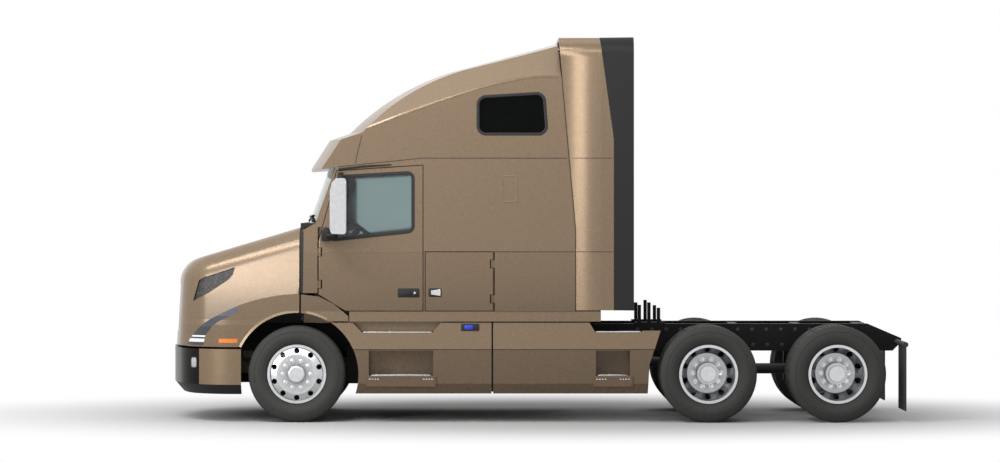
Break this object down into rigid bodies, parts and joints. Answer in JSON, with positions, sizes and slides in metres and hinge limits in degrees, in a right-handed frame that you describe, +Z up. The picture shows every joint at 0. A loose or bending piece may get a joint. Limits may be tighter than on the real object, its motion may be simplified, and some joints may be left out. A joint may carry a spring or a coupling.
{
  "type": "semi truck tractor unit",
  "caption": "Conventional sleeper tractor unit with tilting hood, opening doors and hatches, steered front wheels and twin-wheel tandem drive axles.",
  "frame": {"origin": "ground plane under the middle of the overall length, on the centre plane", "axes": "+X forward, +Y to the truck's left, +Z up"},
  "size_m": [7.6154, 3.04, 3.9439],
  "materials": {
    "paint": "satin",
    "black_plastic": "matte",
    "frame_black": "satin",
    "polished_aluminium": "gloss",
    "tyre_rubber": "matte",
    "glass": "gloss",
    "lamp_lens": "gloss",
    "amber_lens": "gloss",
    "red_lens": "gloss",
    "cast_iron": "matte",
    "engine_grey": "satin",
    "tank_aluminium": "satin",
    "mirror_chrome": "gloss",
    "flap_rubber": "matte",
    "cabin_plastic": "matte",
    "seat_fabric": "matte"
  },
  "bodies": {
    "chassis": {"frame_rails": "frame_black", "crossmembers": "frame_black", "front_axle": "cast_iron", "drive_axles": "cast_iron", "rear_suspension": "frame_black", "driveshaft": "cast_iron", "engine": "engine_grey", "radiator": "engine_grey", "fuel_tanks": "tank_aluminium", "bumper": "paint", "bumper_valance": "black_plastic", "cab_floor": "frame_black", "sills": "paint", "cab_front": "black_plastic", "cab_sides": "paint", "cab_back": "paint", "roof_shell": "paint", "windscreen": "glass", "sleeper_windows": "glass", "side_extenders": "paint", "extender_edges": "black_plastic", "fender_rears": "paint", "fairings_front": "paint", "fairings_rear": "paint", "mud_flaps": "flap_rubber", "tail_lamps": "red_lens", "deck_brackets": "frame_black", "dashboard": "cabin_plastic", "seats": "seat_fabric", "bunk": "seat_fabric"},
    "hood": {"hood": "paint", "grille": "black_plastic", "headlamps": "lamp_lens", "hood_vents": "black_plastic", "marker_lamps": "amber_lens", "wheel_liners": "black_plastic"},
    "door_left": {"door_left": "paint", "door_glass_left": "glass", "mirror_left": "mirror_chrome"},
    "door_right": {"door_right": "paint", "door_glass_right": "glass", "mirror_right": "mirror_chrome"},
    "luggage_door_left": {"luggage_door_left": "paint"},
    "luggage_door_right": {"luggage_door_right": "paint"},
    "knuckle_left": {"knuckle_left": "cast_iron"},
    "knuckle_right": {"knuckle_right": "cast_iron"},
    "tie_rod": {"tie_rod": "cast_iron"},
    "steer_wheel_left": {"steer_tyre_left": "tyre_rubber", "steer_wheel_left": "polished_aluminium"},
    "steer_wheel_right": {"steer_tyre_right": "tyre_rubber", "steer_wheel_right": "polished_aluminium"},
    "drive_wheel_front_left": {"drive_tyres_front_left": "tyre_rubber", "drive_wheel_front_left": "polished_aluminium"},
    "drive_wheel_front_right": {"drive_tyres_front_right": "tyre_rubber", "drive_wheel_front_right": "polished_aluminium"},
    "drive_wheel_rear_left": {"drive_tyres_rear_left": "tyre_rubber", "drive_wheel_rear_left": "polished_aluminium"},
    "drive_wheel_rear_right": {"drive_tyres_rear_right": "tyre_rubber", "drive_wheel_rear_right": "polished_aluminium"}
  },
  "joints": [
    {"name": "hood_tilt", "type": "hinge", "parent": "chassis", "child": "hood", "pos_m": [3.68975, 0, 0.86], "axis": [0, 1, 0], "range_deg": [0, 60]},
    {"name": "door_left_hinge", "type": "hinge", "parent": "chassis", "child": "door_left", "pos_m": [2.22775, 1.182, 1.58], "axis": [0, 0, -1], "range_deg": [0, 70]},
    {"name": "door_right_hinge", "type": "hinge", "parent": "chassis", "child": "door_right", "pos_m": [2.22775, -1.182, 1.58], "axis": [0, 0, 1], "range_deg": [0, 70]},
    {"name": "luggage_left_hinge", "type": "hinge", "parent": "chassis", "child": "luggage_door_left", "pos_m": [0.46875, 1.182, 1.447], "axis": [0, 0, 1], "range_deg": [0, 110]},
    {"name": "luggage_right_hinge", "type": "hinge", "parent": "chassis", "child": "luggage_door_right", "pos_m": [0.46875, -1.182, 1.447], "axis": [0, 0, -1], "range_deg": [0, 110]},
    {"name": "steer_left", "type": "hinge", "parent": "chassis", "child": "knuckle_left", "pos_m": [2.46875, 0.915, 0.495], "axis": [0, 0, 1], "range_deg": [-40, 40]},
    {"name": "steer_right", "type": "hinge", "parent": "chassis", "child": "knuckle_right", "pos_m": [2.46875, -0.915, 0.495], "axis": [0, 0, 1], "range_deg": [-40, 40]},
    {"name": "tie_rod_pivot", "type": "hinge", "parent": "knuckle_left", "child": "tie_rod", "pos_m": [2.27875, 0.915, 0.374], "axis": [0, 0, 1], "range_deg": [-40, 40]},
    {"name": "steer_wheel_left_spin", "type": "hinge", "parent": "knuckle_left", "child": "steer_wheel_left", "pos_m": [2.46875, 1.025, 0.495], "axis": [0, 1, 0], "continuous": true},
    {"name": "steer_wheel_right_spin", "type": "hinge", "parent": "knuckle_right", "child": "steer_wheel_right", "pos_m": [2.46875, -1.025, 0.495], "axis": [0, 1, 0], "continuous": true},
    {"name": "drive_wheel_front_left_spin", "type": "hinge", "parent": "chassis", "child": "drive_wheel_front_left", "pos_m": [-1.74475, 0.91, 0.495], "axis": [0, 1, 0], "continuous": true},
    {"name": "drive_wheel_front_right_spin", "type": "hinge", "parent": "chassis", "child": "drive_wheel_front_right", "pos_m": [-1.74475, -0.91, 0.495], "axis": [0, 1, 0], "continuous": true},
    {"name": "drive_wheel_rear_left_spin", "type": "hinge", "parent": "chassis", "child": "drive_wheel_rear_left", "pos_m": [-3.06575, 0.91, 0.495], "axis": [0, 1, 0], "continuous": true},
    {"name": "drive_wheel_rear_right_spin", "type": "hinge", "parent": "chassis", "child": "drive_wheel_rear_right", "pos_m": [-3.06575, -0.91, 0.495], "axis": [0, 1, 0], "continuous": true}
  ],
  "couplings": [
    {"joint": "steer_right", "follows": "steer_left", "ratio": 1},
    {"joint": "tie_rod_pivot", "follows": "steer_left", "ratio": -1}
  ]
}
